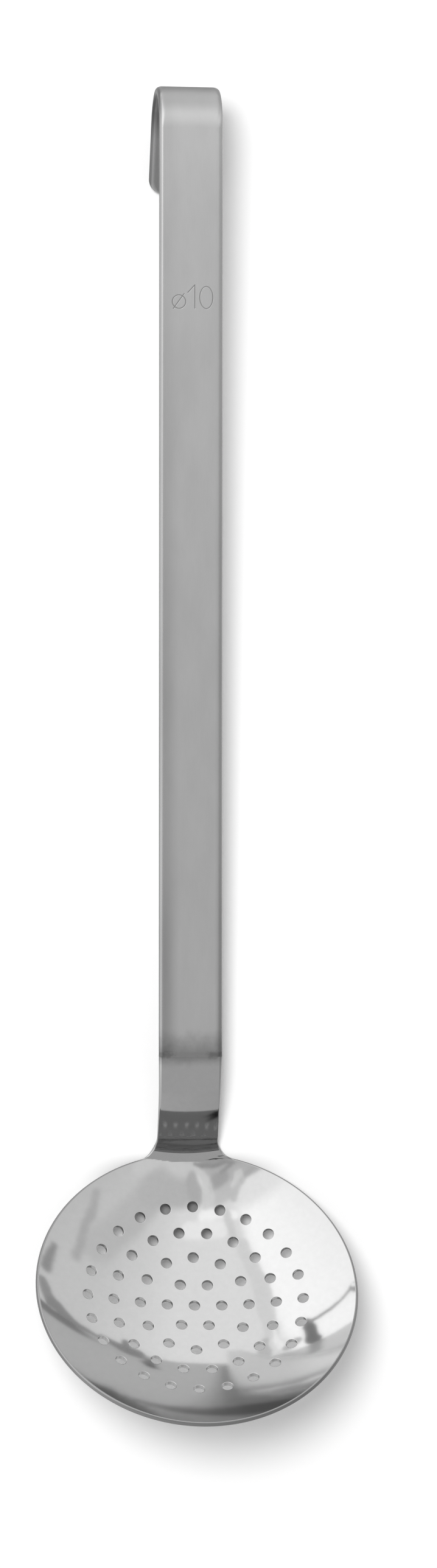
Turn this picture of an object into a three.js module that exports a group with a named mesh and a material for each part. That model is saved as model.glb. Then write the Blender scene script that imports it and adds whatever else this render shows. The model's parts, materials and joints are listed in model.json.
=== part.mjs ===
import * as THREE from 'three';
import { mergeVertices } from 'three/addons/utils/BufferGeometryUtils.js';

// Perforated serving spoon of stainless steel. Sizes are in millimetres and degrees.
// The pieces are drawn with the handle level: X runs across it, Y along it towards the hook
// and Z out of its front face. Y = 0 is where the neck starts to bend. The finished spoon is
// then tipped as it lies on a table, on the heel of its bowl and the end of its hook.

// Strip that the handle is bent from
const stripWidth = 20;
const stripThickness = 3;
const stripCorner = 1.2;

// Handle: a long straight, the hook's bend and a short tail
const handleStraight = 289.5;
const hookRadius = 13.8;
const hookOpening = 25;
const tailLength = 23.2;
const tailCorner = 5;

// Butt weld between the handle and the neck, ground flush
const weldLength = 1.5;

// Neck: its front face goes down to the bowl's heel in three bends, each with its radius, the
// slope it reaches and the straight after it. It is crowned across and faired into the lip.
const neckBends = [
  { radius: 41, slope: 25.6, straight: 0 },
  { radius: 180, slope: 27.1, straight: 4.5 },
  { radius: 6, slope: 45, straight: 6.2 },
];
const neckWidth = 19.5;
const crownRadius = 85;
const filletAngle = 17.5;
const filletReach = 6.7;
const heelBlend = 3.5;

// Bowl: a disc pressed to part of a sphere
const lipDiameter = 100;
const dishRadius = 108;
const bowlTilt = 42.4;
const sheetThickness = 1.5;

// Holes: rings round the middle one, each with six more than the last, punched square to the sheet
const holeDiameter = 3.5;
const holePitch = 8.5;
const holeRings = 4;
const patternTurn = -2.4;

// Share of the thickness that is broken off each edge of the sheet
const edgeShare = 0.3;

// How finely the curves are cut into flats
const lipStepsPerHole = 3;
const holeSteps = 20;
const marginSteps = 5;
const wingSteps = 3;
const neckSteps = 16;
const cornerSteps = 4;
const hookSteps = 16;
const tailCornerSteps = 5;

const radians = THREE.MathUtils.degToRad;
const fullTurn = 2 * Math.PI;

// The lip's broad edge is its back one, so the front face ends inside the full diameter
const lipLean = (1 - edgeShare) * sheetThickness * lipDiameter / 2 / dishRadius;
const lipRadius = lipDiameter / 2 - lipLean;

// The neck's bends placed one after the other, the first tangent to the handle
const neckCourse = [];
for (const { radius, slope, straight } of neckBends) {
  const { end: start, endSlope: startSlope } = neckCourse.at(-1) ?? { end: 0, endSlope: 0 };
  const endSlope = radians(slope);
  const bendEnd = start + radius * (Math.sin(endSlope) - Math.sin(startSlope));
  const end = bendEnd + straight * Math.cos(endSlope);
  neckCourse.push({ start, startSlope, radius, bendEnd, end, endSlope });
}

// Height of the neck's front face along its middle, by the distance down from the weld; past the
// heel it carries on straight
function neckProfile(down) {
  let height = stripThickness / 2;
  for (const { start, startSlope, radius, bendEnd, end, endSlope } of neckCourse) {
    const rise = Math.sin(startSlope) + (down - start) / radius;
    const bent = Math.asin(THREE.MathUtils.clamp(rise, Math.sin(startSlope), Math.sin(endSlope)));
    height -= radius * (Math.cos(startSlope) - Math.cos(bent));
    height -= (THREE.MathUtils.clamp(down, bendEnd, end) - bendEnd) * Math.tan(endSlope);
  }
  const last = neckCourse.at(-1);
  return height - Math.max(down - last.end, 0) * Math.tan(last.endSlope);
}

const heelY = -neckCourse.at(-1).end;
const heelZ = neckProfile(-heelY);

// Directions in the lip's plane and square to it, the lip's centre and the dish's sphere
const towardsNeck = new THREE.Vector3(0, Math.cos(radians(bowlTilt)), -Math.sin(radians(bowlTilt)));
const outOfBowl = new THREE.Vector3(0, Math.sin(radians(bowlTilt)), Math.cos(radians(bowlTilt)));
const lipCentre = new THREE.Vector3(0, heelY, heelZ).addScaledVector(towardsNeck, -lipRadius);
const sphereHeight = Math.sqrt(dishRadius ** 2 - lipRadius ** 2);
const sphereCentre = lipCentre.clone().addScaledVector(outOfBowl, sphereHeight);

// Height of the dish's inside over a place on the drawing
function dishHeight(x, y) {
  return sphereCentre.z - Math.sqrt(dishRadius ** 2 - x ** 2 - (y - sphereCentre.y) ** 2);
}

// Height of the neck's front face, less its crown; mirrored at the weld, which it meets square
function neckHeight(x, y) {
  const side = Math.min(Math.abs(x), neckWidth / 2);
  const crown = side ** 2 / (2 * crownRadius) * THREE.MathUtils.smoothstep(y / heelY, 0, 0.7);
  return neckProfile(Math.abs(y)) - crown;
}

// The sheet follows whichever form is higher, with the valley between them rounded
function frontHeight(x, y) {
  const dish = dishHeight(x, y);
  const neck = neckHeight(x, y);
  const overlap = Math.max(heelBlend - Math.abs(dish - neck), 0) / heelBlend;
  return Math.max(dish, neck) + overlap ** 2 * heelBlend / 4;
}

function frontNormal(x, y) {
  const step = 0.01;
  const slopeX = (frontHeight(x + step, y) - frontHeight(x - step, y)) / (2 * step);
  const slopeY = (frontHeight(x, y + step) - frontHeight(x, y - step)) / (2 * step);
  return new THREE.Vector3(-slopeX, -slopeY, 1).normalize();
}

// The sheet thickens along the neck from the dish's wall to the handle's strip
function thicknessAt(y) {
  const along = THREE.MathUtils.smoothstep(y, heelY, 0);
  return THREE.MathUtils.lerp(sheetThickness, stripThickness, along);
}

// A point of the sheet below a place on its front face; depth is a share of the thickness
function sheetPoint(place, depth) {
  const front = new THREE.Vector3(place.x, place.y, frontHeight(place.x, place.y));
  const normal = frontNormal(place.x, place.y);
  return front.addScaledVector(normal, -depth * thicknessAt(place.y));
}

// The lip's corners are counted in columns from the neck's middle, the first ones half a step to
// each side of it. At tangentColumn the neck's side leaves the lip.
const lipSteps = 6 * holeRings * lipStepsPerHole;
const lipStepAngle = fullTurn / lipSteps;
const neckDirection = Math.PI / 2;
const tangentColumn = Math.round(radians(filletAngle) / lipStepAngle + 0.5) - 0.5;
const sideColumn = tangentColumn - 1;
const brokenEdge = edgeShare * sheetThickness;

// Turn between the lip's corners and those on the edge of the perforated field
const fieldOffset = radians(patternTurn) + (lipStepsPerHole + 1) / 2 * lipStepAngle - neckDirection;
const patternTwist = fieldOffset - Math.round(fieldOffset / lipStepAngle) * lipStepAngle;

// A place on the dish by its distance from the middle along the sheet and its angle
function dishPlace(along, angle) {
  return lipPlanePlace(dishRadius * Math.sin(along / dishRadius), angle, dishDepth(along));
}

function dishDepth(along) {
  return dishRadius * Math.cos(along / dishRadius) - sphereHeight;
}

function lipPlanePlace(radius, angle, depth) {
  const point = lipCentre.clone().addScaledVector(outOfBowl, -depth);
  point.addScaledVector(towardsNeck, radius * Math.sin(angle));
  return new THREE.Vector2(radius * Math.cos(angle), point.y);
}

// Collects triangles and closes them into one mesh
class Shell {
  constructor() {
    this.corners = [];
  }

  triangle(a, b, c) {
    this.corners.push(...a, ...b, ...c);
  }

  quad(a, b, c, d) {
    this.triangle(a, b, c);
    this.triangle(a, c, d);
  }

  // The same triangle on the front of the sheet and, turned over, on its back
  skin(a, b, c) {
    this.triangle(sheetPoint(a, 0), sheetPoint(b, 0), sheetPoint(c, 0));
    this.triangle(sheetPoint(c, 1), sheetPoint(b, 1), sheetPoint(a, 1));
  }

  skinQuad(a, b, c, d) {
    this.skin(a, b, c);
    this.skin(a, c, d);
  }

  geometry() {
    const soup = new THREE.BufferGeometry();
    soup.setAttribute('position', new THREE.Float32BufferAttribute(this.corners, 3));
    const closed = mergeVertices(soup, 1e-4);
    closed.computeVertexNormals();
    return closed;
  }
}

// Angles at which the cells of one ring of holes meet each other
function cellEdges(ring) {
  const count = 6 * ring;
  return Array.from({ length: count }, (_, i) => (i + 0.5) / count);
}

// Corners on the circle between two rings, as shares of a turn; the last circle is the lip's margin
function circleCorners(ring) {
  if (ring === holeRings) {
    return Array.from({ length: lipSteps }, (_, i) => (i + lipStepsPerHole / 2) / lipSteps);
  }
  const shares = [...cellEdges(ring + 1), ...(ring > 0 ? cellEdges(ring) : [])];
  shares.sort((a, b) => a - b);
  return shares.filter((share, i) => i === 0 || share - shares[i - 1] > 1e-9);
}

// The sheet round one hole: a cell with the hole in it, and the hole's wall
function addCell(shell, outline, along, angle) {
  const centre = new THREE.Vector2(along * Math.cos(angle), along * Math.sin(angle));
  const hole = Array.from({ length: holeSteps }, (_, i) => {
    const turn = angle + i / holeSteps * fullTurn;
    const spoke = new THREE.Vector2(Math.cos(turn), Math.sin(turn));
    return spoke.multiplyScalar(holeDiameter / 2).add(centre);
  });
  const flat = [...outline, ...hole];
  const places = flat.map((p) => dishPlace(p.length(), p.angle()));
  for (const [a, b, c] of THREE.ShapeUtils.triangulateShape(outline, [hole])) {
    shell.skin(places[a], places[b], places[c]);
  }
  const rim = places.slice(outline.length);
  rim.forEach((place, i) => {
    const next = rim[(i + 1) % holeSteps];
    shell.quad(sheetPoint(place, 0), sheetPoint(next, 0), sheetPoint(next, 1), sheetPoint(place, 1));
  });
}

function polar(along, share) {
  const angle = share * fullTurn + radians(patternTurn);
  return new THREE.Vector2(along * Math.cos(angle), along * Math.sin(angle));
}

function addPerforatedField(shell) {
  const middle = circleCorners(0).map((share) => polar(holePitch / 2, share));
  addCell(shell, middle, 0, 0);
  for (let ring = 1; ring <= holeRings; ring += 1) {
    const inner = (ring - 0.5) * holePitch;
    const outer = (ring + 0.5) * holePitch;
    for (let cell = 0; cell < 6 * ring; cell += 1) {
      const start = (cell - 0.5) / (6 * ring);
      const end = (cell + 0.5) / (6 * ring);
      const between = (corners) => [...corners, ...corners.map((share) => share - 1)]
        .filter((share) => share > start - 1e-9 && share < end + 1e-9)
        .sort((a, b) => a - b);
      const outside = between(circleCorners(ring)).map((share) => polar(outer, share));
      const inside = between(circleCorners(ring - 1)).map((share) => polar(inner, share));
      const angle = (start + end) / 2 * fullTurn + radians(patternTurn);
      addCell(shell, [...outside, ...inside.reverse()], ring * holePitch, angle);
    }
  }
}

// A place on the plain margin; row 0 is the edge of the perforated field, the last row the lip
function marginPlace(row, column, inset = brokenEdge) {
  const field = (holeRings + 0.5) * holePitch;
  const edge = lipRadius - (Math.abs(column) >= tangentColumn ? inset : 0);
  const outer = dishRadius * Math.asin(edge / dishRadius);
  const share = row / marginSteps;
  const angle = neckDirection - column * lipStepAngle + (1 - share) ** 3 * patternTwist;
  return dishPlace(THREE.MathUtils.lerp(field, outer, share), angle);
}

function mirrored(place) {
  return new THREE.Vector2(-place.x, place.y);
}

// Outline of the neck's right side, from the lip to the weld: a fairing curve, then straight
function neckSideOutline() {
  const start = marginPlace(marginSteps, tangentColumn, 0);
  const beside = marginPlace(marginSteps, tangentColumn + 1, 0);
  const alongLip = start.clone().sub(beside).normalize();
  const end = new THREE.Vector2(neckWidth / 2, start.y + filletReach);
  const reach = filletReach * 0.5;
  const fairing = new THREE.CubicBezierCurve(
    start,
    start.clone().addScaledVector(alongLip, reach),
    new THREE.Vector2(end.x, end.y - reach),
    end,
  );
  const straight = new THREE.LineCurve(end, new THREE.Vector2(stripWidth / 2, 0));
  return [...fairing.getPoints(2 * wingSteps), ...straight.getPoints(neckSteps).slice(1)];
}

const neckOutline = neckSideOutline();

// The same outline moved in by the broken edge, where the flat of the sheet ends
const neckInset = neckOutline.map((point, row) => {
  if (row === 0) {
    return marginPlace(marginSteps, tangentColumn);
  }
  const before = neckOutline[row - 1];
  const after = neckOutline[Math.min(row + 1, neckOutline.length - 1)];
  const along = after.clone().sub(before).normalize();
  const inwards = new THREE.Vector2(-along.y, along.x);
  const moved = point.clone().addScaledVector(inwards, edgeShare * thicknessAt(point.y));
  return new THREE.Vector2(moved.x, row === neckOutline.length - 1 ? point.y : moved.y);
});

// The margin's corners; those at the neck's sides are halfway up its fairing curves
function marginCorner(row, column) {
  if (row === marginSteps && Math.abs(column) === sideColumn) {
    const side = neckInset[wingSteps];
    return column > 0 ? side : mirrored(side);
  }
  return marginPlace(row, column);
}

function isWing(row, column) {
  const outerColumn = Math.max(Math.abs(column), Math.abs(column + 1));
  return row === marginSteps - 1 && outerColumn === tangentColumn;
}

function addMargin(shell) {
  for (let column = 0.5 - lipSteps / 2; column < lipSteps / 2; column += 1) {
    for (let row = 0; row < marginSteps; row += 1) {
      if (!isWing(row, column)) {
        const a = marginCorner(row, column);
        const b = marginCorner(row, column + 1);
        const c = marginCorner(row + 1, column + 1);
        const d = marginCorner(row + 1, column);
        shell.skinQuad(a, b, c, d);
      }
    }
  }
}

// The two corners where the lip turns into the neck's sides, each a fan out to the fairing curve
function addWings(shell) {
  const pivot = marginPlace(marginSteps - 1, sideColumn);
  const fan = [marginPlace(marginSteps - 1, tangentColumn), ...neckInset.slice(0, wingSteps + 1)];
  const leftPivot = marginPlace(marginSteps - 1, -sideColumn);
  const leftFan = [marginPlace(marginSteps - 1, -tangentColumn), ...fan.slice(1).map(mirrored)];
  for (let i = 0; i < fan.length - 1; i += 1) {
    shell.skin(pivot, fan[i], fan[i + 1]);
    shell.skin(leftPivot, leftFan[i + 1], leftFan[i]);
  }
}

// One stretch of the sheet's cut edge, broken at the front and the back
function addEdge(shell, inset, outline, nextInset, nextOutline) {
  const here = edgeProfile(inset, outline);
  const next = edgeProfile(nextInset, nextOutline);
  for (let i = 0; i < 3; i += 1) {
    shell.quad(here[i], here[i + 1], next[i + 1], next[i]);
  }
}

function edgeProfile(inset, outline) {
  return [
    sheetPoint(inset, 0),
    sheetPoint(outline, edgeShare),
    sheetPoint(outline, 1 - edgeShare),
    sheetPoint(inset, 1),
  ];
}

function addLip(shell) {
  const inset = (column) => marginPlace(marginSteps, column);
  const outline = (column) => marginPlace(marginSteps, column, 0);
  for (let column = tangentColumn; column < lipSteps - tangentColumn; column += 1) {
    addEdge(shell, inset(column + 1), outline(column + 1), inset(column), outline(column));
  }
}

// A place on the neck; the columns start from the lip's steps and end across the weld
function neckPlace(row, column) {
  const foot = marginCorner(marginSteps, column);
  const start = neckInset[wingSteps];
  const side = neckInset[row];
  return new THREE.Vector2(foot.x / start.x * side.x, foot.y / start.y * side.y);
}

function addNeck(shell) {
  for (let row = wingSteps; row < neckOutline.length - 1; row += 1) {
    for (let column = -sideColumn; column < sideColumn; column += 1) {
      const a = neckPlace(row, column);
      const b = neckPlace(row, column + 1);
      const c = neckPlace(row + 1, column + 1);
      const d = neckPlace(row + 1, column);
      shell.skinQuad(a, b, c, d);
    }
  }
}

function addNeckSides(shell) {
  for (let row = 0; row < neckOutline.length - 1; row += 1) {
    const inset = [neckInset[row], neckInset[row + 1]];
    const outline = [neckOutline[row], neckOutline[row + 1]];
    addEdge(shell, inset[0], outline[0], inset[1], outline[1]);
    const left = [...inset, ...outline].map(mirrored);
    addEdge(shell, left[1], left[3], left[0], left[2]);
  }
}

// The neck's square end, where the weld meets it
function addNeckEnd(shell) {
  const row = neckOutline.length - 1;
  const side = neckOutline[row];
  for (let column = -sideColumn; column < sideColumn; column += 1) {
    const left = neckPlace(row, column);
    const right = neckPlace(row, column + 1);
    shell.quad(sheetPoint(left, 0), sheetPoint(right, 0), sheetPoint(right, 1), sheetPoint(left, 1));
  }
  shell.quad(...edgeProfile(neckPlace(row, sideColumn), side));
  shell.quad(...edgeProfile(neckPlace(row, -sideColumn), mirrored(side)).reverse());
}

function bowlGeometry() {
  const shell = new Shell();
  addPerforatedField(shell);
  addMargin(shell);
  addWings(shell);
  addLip(shell);
  addNeck(shell);
  addNeckSides(shell);
  addNeckEnd(shell);
  return shell.geometry();
}

// Section of the strip at one station of the handle, a rectangle with rounded corners
function stripSection({ y, z, heading, halfWidth = stripWidth / 2 }) {
  const points = [];
  for (let corner = 0; corner < 4; corner += 1) {
    for (let step = 0; step <= cornerSteps; step += 1) {
      const turn = (corner + step / cornerSteps) * Math.PI / 2;
      const sideX = corner === 0 || corner === 3 ? 1 : -1;
      const sideZ = corner < 2 ? 1 : -1;
      const x = sideX * (halfWidth - stripCorner) + stripCorner * Math.cos(turn);
      const out = sideZ * (stripThickness / 2 - stripCorner) + stripCorner * Math.sin(turn);
      points.push(new THREE.Vector3(x, y - out * Math.sin(heading), z + out * Math.cos(heading)));
    }
  }
  return points;
}

// A solid through a row of sections, closed by a flat at each end
function loftGeometry(stations) {
  const shell = new Shell();
  const rings = stations.map(stripSection);
  for (let i = 0; i < rings.length - 1; i += 1) {
    rings[i].forEach((point, k) => {
      const next = (k + 1) % rings[i].length;
      shell.quad(point, rings[i + 1][k], rings[i + 1][next], rings[i][next]);
    });
  }
  const half = 2 * (cornerSteps + 1);
  for (const [ring, turned] of [[rings[0], false], [rings[rings.length - 1], true]]) {
    for (let k = 0; k < half - 1; k += 1) {
      const quad = [ring[k], ring[k + 1], ring[2 * half - 2 - k], ring[2 * half - 1 - k]];
      shell.quad(...(turned ? quad.reverse() : quad));
    }
  }
  return shell.geometry();
}

function weldGeometry() {
  return loftGeometry([{ y: 0, z: 0, heading: 0 }, { y: weldLength, z: 0, heading: 0 }]);
}

// Stations of the handle from the weld: the straight, the hook's bend and the tail's rounded end
function handleStations() {
  const bendY = weldLength + handleStraight;
  const stations = [{ y: weldLength, z: 0, heading: 0 }];
  const bendAngle = Math.PI - radians(hookOpening);
  for (let step = 0; step <= hookSteps; step += 1) {
    const turned = step / hookSteps * bendAngle;
    const y = bendY + hookRadius * Math.sin(turned);
    const z = hookRadius * (Math.cos(turned) - 1);
    stations.push({ y, z, heading: -turned });
  }
  const tailStart = stations[stations.length - 1];
  for (let step = 0; step <= tailCornerSteps; step += 1) {
    const turned = step / tailCornerSteps * Math.PI / 2;
    const along = tailLength - tailCorner * (1 - Math.sin(turned));
    const halfWidth = stripWidth / 2 - tailCorner * (1 - Math.cos(turned));
    const y = tailStart.y + along * Math.cos(bendAngle);
    const z = tailStart.z - along * Math.sin(bendAngle);
    stations.push({ y, z, heading: -bendAngle, halfWidth });
  }
  return stations;
}

function handleGeometry() {
  return loftGeometry(handleStations());
}

function lowestPoint(geometry, tip) {
  const point = new THREE.Vector3();
  const position = geometry.getAttribute('position');
  let lowest = Infinity;
  for (let i = 0; i < position.count; i += 1) {
    point.fromBufferAttribute(position, i);
    lowest = Math.min(lowest, point.y * Math.sin(tip) + point.z * Math.cos(tip));
  }
  return lowest;
}

// The tip at which the bowl's heel and the hook's end touch the same table, found by halving
function restingTip(bowl, handle) {
  let low = 0;
  let high = radians(20);
  for (let i = 0; i < 40; i += 1) {
    const tip = (low + high) / 2;
    if (lowestPoint(bowl, tip) > lowestPoint(handle, tip)) {
      low = tip;
    } else {
      high = tip;
    }
  }
  return low;
}

const mirrorSteel = new THREE.MeshStandardMaterial({ color: 0xd2d3d4, metalness: 1, roughness: 0.08 });
const satinSteel = new THREE.MeshStandardMaterial({ color: 0xb4b5b6, metalness: 1, roughness: 0.38 });
const groundSteel = new THREE.MeshStandardMaterial({ color: 0x9a9b9c, metalness: 1, roughness: 0.3 });

function named(name, geometry, material) {
  const mesh = new THREE.Mesh(geometry, material);
  mesh.name = name;
  return mesh;
}

const bowl = named('bowl', bowlGeometry(), mirrorSteel);
const weldSeam = named('weld_seam', weldGeometry(), groundSteel);
const handle = named('handle', handleGeometry(), satinSteel);

// Tipped as it lies, stood on Z = 0 and centred on its box
const lying = new THREE.Group();
lying.add(bowl, weldSeam, handle);
lying.rotation.x = restingTip(bowl.geometry, handle.geometry);
lying.updateMatrixWorld(true);
const box = new THREE.Box3().setFromObject(lying, true);
const centre = box.getCenter(new THREE.Vector3());
lying.position.set(-centre.x, -centre.y, -box.min.z);

const spoon = new THREE.Group();
spoon.add(lying);

export default spoon;
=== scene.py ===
import json
import math
import bpy
import numpy as np
from mathutils import Matrix, Vector


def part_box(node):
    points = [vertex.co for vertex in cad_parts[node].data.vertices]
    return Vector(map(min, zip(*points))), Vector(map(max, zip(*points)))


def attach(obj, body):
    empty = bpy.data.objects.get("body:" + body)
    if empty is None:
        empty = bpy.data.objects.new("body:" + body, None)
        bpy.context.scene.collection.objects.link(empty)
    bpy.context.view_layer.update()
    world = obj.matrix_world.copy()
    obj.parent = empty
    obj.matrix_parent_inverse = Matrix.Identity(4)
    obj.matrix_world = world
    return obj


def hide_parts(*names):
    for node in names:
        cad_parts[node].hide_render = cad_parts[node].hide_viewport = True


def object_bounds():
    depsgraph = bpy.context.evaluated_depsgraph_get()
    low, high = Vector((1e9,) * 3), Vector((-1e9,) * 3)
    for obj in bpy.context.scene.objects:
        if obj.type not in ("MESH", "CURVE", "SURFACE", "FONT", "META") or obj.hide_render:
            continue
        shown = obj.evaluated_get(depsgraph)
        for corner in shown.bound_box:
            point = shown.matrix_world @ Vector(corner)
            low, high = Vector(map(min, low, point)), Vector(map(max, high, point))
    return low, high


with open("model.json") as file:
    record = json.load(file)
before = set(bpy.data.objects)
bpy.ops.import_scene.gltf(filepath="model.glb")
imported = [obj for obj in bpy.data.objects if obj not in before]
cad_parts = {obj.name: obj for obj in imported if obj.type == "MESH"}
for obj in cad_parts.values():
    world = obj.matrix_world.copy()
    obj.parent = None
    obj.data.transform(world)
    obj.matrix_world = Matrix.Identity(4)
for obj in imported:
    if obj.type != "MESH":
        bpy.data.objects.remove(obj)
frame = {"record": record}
cadBounds = [list(corner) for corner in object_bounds()]
mm = 0.001
fullTurn = 2 * math.pi


# Where the spoon lies. It is drawn level, in mm: X across the handle, Y along it from the weld,
# Z out of its front face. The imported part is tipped, as the spoon lies on a table.
weld = {"length": 1.5, "thickness": 3.0, "sink": 0.01, "steps": 6}
frontMount = next(m for m in frame["record"]["mounts"] if m["name"] == "handle_front")
tip = math.atan2(-frontMount["axis"][1], frontMount["axis"][2])
turned = Matrix.Rotation(tip, 4, "X")
weldLow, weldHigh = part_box("weld_seam")
origin = (weldLow + weldHigh) / 2 - turned @ Vector((0, weld["length"] / 2 * mm, 0))
lying = Matrix.Translation(origin) @ turned
scale = Matrix.Scale(mm, 4)

# The camera looks straight down at the drawing, about a metre above it, turned a little sideways
shot = {
    "distance": 1100.0,
    "aim": (8.865, 154.139),  # mm from the bowl's middle line, across and along
    "bowlPlace": -68.5,  # mm along the drawing where the aim is counted from
    "pitch": 0.7301,
    "sideways": 6.6240,
    "roll": -0.0448,
    "lensToHeight": 2.2303,
    "sensor": 36,
}


def makeCamera():
    data = bpy.data.cameras.new("camera")
    data.sensor_width = shot["sensor"]
    data.lens = shot["lensToHeight"] * shot["sensor"]
    data.clip_end = 20
    camera = bpy.data.objects.new("camera", data)
    look = Matrix.Rotation(math.radians(shot["roll"]), 4, "Z")
    look = look @ Matrix.Rotation(math.radians(shot["pitch"]), 4, "X")
    look = look @ Matrix.Rotation(math.radians(shot["sideways"]), 4, "Y")
    start = Matrix.Translation(Vector((0, shot["bowlPlace"], 0)) * mm)
    reach = Matrix.Translation(Vector((*shot["aim"], shot["distance"])) * mm)
    camera.matrix_world = lying @ start @ look.transposed() @ reach
    bpy.context.scene.collection.objects.link(camera)
    bpy.context.scene.camera = camera


makeCamera()
print("camera in place")


# Mesh tools. Points of a piece that agree to a micron are one; the shift keeps round numbers
# of mm away from the limit between two microns.
perMicron = 1000
gridShift = 0.137
endSquareness = 0.3


# A surface is collected as grids of points with their true normals, in drawing mm
class Surface:
    def __init__(self):
        self.points = []
        self.normals = []
        self.faces = []
        self.count = 0

    # Rows and columns of points; faces are turned to agree with the normals
    def addGrid(self, points, normals, closed=False):
        rows, columns = points.shape[:2]
        index = self.count + np.arange(rows * columns).reshape(rows, columns)
        if closed:
            index = np.concatenate([index, index[:, :1]], axis=1)
        quads = np.stack([index[:-1, :-1], index[:-1, 1:], index[1:, 1:], index[1:, :-1]], axis=-1)
        quads = quads.reshape(-1, 4)
        flat = points.reshape(-1, 3)
        self.points.append(flat)
        self.normals.append(normals.reshape(-1, 3))
        corners = flat[quads - self.count]
        across = np.cross(corners[:, 2] - corners[:, 0], corners[:, 3] - corners[:, 1])
        out = normals.reshape(-1, 3)[quads - self.count].sum(axis=1)
        if (across * out).sum() < 0:
            quads = quads[:, ::-1]
        self.faces.append(quads)
        self.count += rows * columns

    # Points that lie together become one; collapsed faces go
    def welded(self):
        points = np.concatenate(self.points)
        normals = np.concatenate(self.normals)
        faces = np.concatenate(self.faces)
        keys = np.round(points * perMicron + gridShift).astype(np.int64)
        _, first, same = np.unique(keys, axis=0, return_index=True, return_inverse=True)
        faces = same.reshape(-1)[faces]
        cleaned = []
        for face in faces.tolist():
            ring = [v for i, v in enumerate(face) if v != face[i - 1]]
            if len(set(ring)) > 2:
                cleaned.append(ring)
        return points[first], normals[first], cleaned


def unit(vectors):
    return vectors / np.linalg.norm(vectors, axis=-1, keepdims=True)


# Makes the piece in the part's frame, no larger than the part. Where a face stands about square
# to a corner's normal it is a cut end, and is shaded flat.
def makePiece(name, surface, material):
    points, normals, faces = surface.welded()
    place = np.array(lying @ scale)
    turn = np.array(turned)[:3, :3]
    points = np.clip(points @ place[:3, :3].T + place[:3, 3], *cadBounds)
    mesh = bpy.data.meshes.new(name)
    mesh.from_pydata(points.tolist(), [], faces)
    mesh.polygons.foreach_set("use_smooth", [True] * len(faces))
    mesh.update()
    corners = np.zeros(len(mesh.loops), np.int32)
    mesh.loops.foreach_get("vertex_index", corners)
    sizes = np.zeros(len(faces), np.int32)
    mesh.polygons.foreach_get("loop_total", sizes)
    flatWays = np.zeros(len(faces) * 3)
    mesh.polygons.foreach_get("normal", flatWays)
    flatWays = np.repeat(flatWays.reshape(-1, 3), sizes, axis=0)
    ways = (normals @ turn.T)[corners]
    isEnd = (ways * flatWays).sum(axis=1) < endSquareness
    ways[isEnd] = flatWays[isEnd]
    mesh.normals_split_custom_set(ways.tolist())
    mesh.materials.append(material)
    piece = bpy.data.objects.new(name, mesh)
    bpy.context.scene.collection.objects.link(piece)
    return piece


def smoothstep(value, low, high):
    share = np.clip((value - low) / (high - low), 0, 1)
    return share * share * (3 - 2 * share)


# Shader tools
def addNode(tree, kind, **settings):
    node = tree.nodes.new(kind)
    for key, value in settings.items():
        setattr(node, key, value)
    return node


# Puts values or links on a node's inputs, by name or by number
def feed(tree, node, inputs):
    for key, value in inputs.items():
        if isinstance(value, bpy.types.NodeSocket):
            tree.links.new(value, node.inputs[key])
        else:
            node.inputs[key].default_value = value
    return node


def calc(tree, operation, *values, clamp=False):
    node = addNode(tree, "ShaderNodeMath", operation=operation, use_clamp=clamp)
    return feed(tree, node, dict(enumerate(values))).outputs[0]


def vectorCalc(tree, operation, *values):
    node = addNode(tree, "ShaderNodeVectorMath", operation=operation)
    outputs = feed(tree, node, dict(enumerate(values))).outputs
    return outputs["Value" if operation in ("LENGTH", "DOT_PRODUCT") else "Vector"]


def scaleVector(tree, vector, factor):
    node = addNode(tree, "ShaderNodeVectorMath", operation="SCALE")
    return feed(tree, node, {0: vector, "Scale": factor}).outputs["Vector"]


def splitVector(tree, vector):
    return feed(tree, addNode(tree, "ShaderNodeSeparateXYZ"), {0: vector}).outputs


def mixValue(tree, share, low, high):
    node = addNode(tree, "ShaderNodeMix", data_type="FLOAT")
    return feed(tree, node, {"Factor": share, "A": low, "B": high}).outputs["Result"]


# Goes smoothly from low to high as a value goes from start to end
def ease(tree, value, start, end, low=0.0, high=1.0):
    node = addNode(tree, "ShaderNodeMapRange", interpolation_type="SMOOTHSTEP")
    feed(tree, node, {"Value": value, "From Min": start, "From Max": end})
    return feed(tree, node, {"To Min": low, "To Max": high}).outputs["Result"]


# Moves a value up and down alike by a noise
def vary(tree, value, noise, amount):
    return calc(tree, "MULTIPLY_ADD", noise, amount, calc(tree, "SUBTRACT", value, amount / 2))


# Darkens a tone where a mask is set
def dull(tree, tone, mask, amount=1.0):
    return calc(tree, "MULTIPLY", tone, calc(tree, "MULTIPLY_ADD", mask, -amount, 1.0))


def grey(tree, value):
    node = addNode(tree, "ShaderNodeCombineColor")
    return feed(tree, node, {"Red": value, "Green": value, "Blue": value}).outputs["Color"]


# A node group with named inputs, of which the tuples are vectors, and one output
def makeGroup(name, inputs, output, build):
    tree = bpy.data.node_groups.new(name, "ShaderNodeTree")
    for label, value in inputs.items():
        kind = "NodeSocketVector" if isinstance(value, tuple) else "NodeSocketFloat"
        tree.interface.new_socket(label, in_out="INPUT", socket_type=kind).default_value = value
    tree.interface.new_socket(output, in_out="OUTPUT", socket_type="NodeSocketFloat")
    start = addNode(tree, "NodeGroupInput")
    feed(tree, addNode(tree, "NodeGroupOutput"), {output: build(tree, start.outputs)})
    return tree


def useGroup(tree, group, inputs):
    return feed(tree, addNode(tree, "ShaderNodeGroup", node_tree=group), inputs).outputs[0]


def addNoise(tree, place, size, detail, roughness=0.5):
    noise = addNode(tree, "ShaderNodeTexNoise")
    feed(tree, noise, {"Vector": place, "Scale": size, "Detail": detail, "Roughness": roughness})
    return noise


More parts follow.
